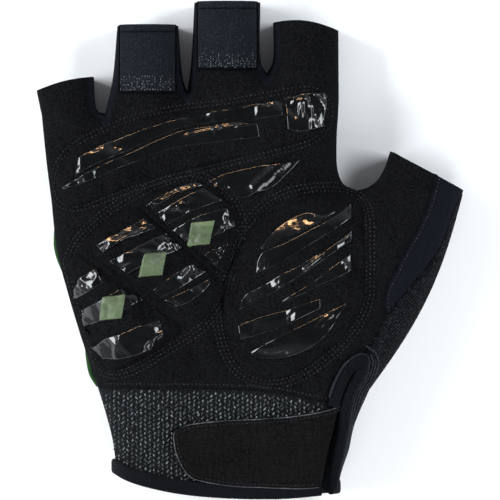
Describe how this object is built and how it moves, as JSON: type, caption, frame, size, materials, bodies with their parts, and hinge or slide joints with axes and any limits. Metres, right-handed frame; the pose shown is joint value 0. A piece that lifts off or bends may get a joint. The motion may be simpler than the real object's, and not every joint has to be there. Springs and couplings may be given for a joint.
{
  "type": "cycling glove",
  "caption": "Fingerless cycling glove for the right hand, lying palm up, with a padded suede palm, gloss printed stripes, woven pull tabs, a knitted cuff and a closing strap.",
  "frame": {"origin": "centre of the glove's box on the surface that it lies on", "axes": "+X towards the thumb, +Y towards the fingertips, +Z out of the palm, away from the surface"},
  "size_m": [0.1458, 0.1686, 0.0312],
  "materials": {
    "suede": "matte black napped suede",
    "back_cloth": "plain black stretch cloth",
    "stretch_cloth": "smooth dark blue stretch cloth",
    "terry": "short dark pile",
    "knit": "ribbed knit flecked with grey",
    "tape": "folded edging tape",
    "strap": "smooth coated cloth",
    "webbing": "fine grey webbing",
    "green_piping": "bright green cord",
    "gloss_print": "glossy raised print",
    "olive_print": "satin raised print"
  },
  "bodies": {
    "root": {"palm_panel": "suede", "back_panel": "back_cloth", "web_strip_1": "stretch_cloth", "web_strip_2": "stretch_cloth", "web_strip_3": "stretch_cloth", "thumb_outer_panel": "terry", "thumb_stretch_strip": "stretch_cloth", "cuff_band": "knit", "cuff_binding": "tape", "slit_binding": "tape", "wrist_strap": "strap", "ring_pull_tab": "webbing", "middle_pull_tab": "webbing", "side_piping": "green_piping", "knuckle_pad": "suede", "heel_pad_lower": "suede", "heel_pad_middle": "suede", "heel_pad_upper": "suede", "thumb_pad": "suede", "stripe_knuckle_upper": "gloss_print", "stripe_knuckle_lower": "gloss_print", "stripe_index": "gloss_print", "stripe_palm_lens": "gloss_print", "stripe_heel_top": "gloss_print", "stripe_heel_upper": "gloss_print", "stripe_heel_side": "gloss_print", "stripe_heel_middle": "gloss_print", "stripe_heel_inner": "gloss_print", "stripe_heel_outer": "gloss_print", "stripe_heel_lower": "gloss_print", "stripe_thumb_top": "gloss_print", "stripe_thumb_upper": "gloss_print", "stripe_thumb_middle": "gloss_print", "stripe_thumb_lower": "gloss_print", "lozenge_upper": "olive_print", "lozenge_middle": "olive_print", "lozenge_lower": "olive_print"}
  },
  "joints": []
}
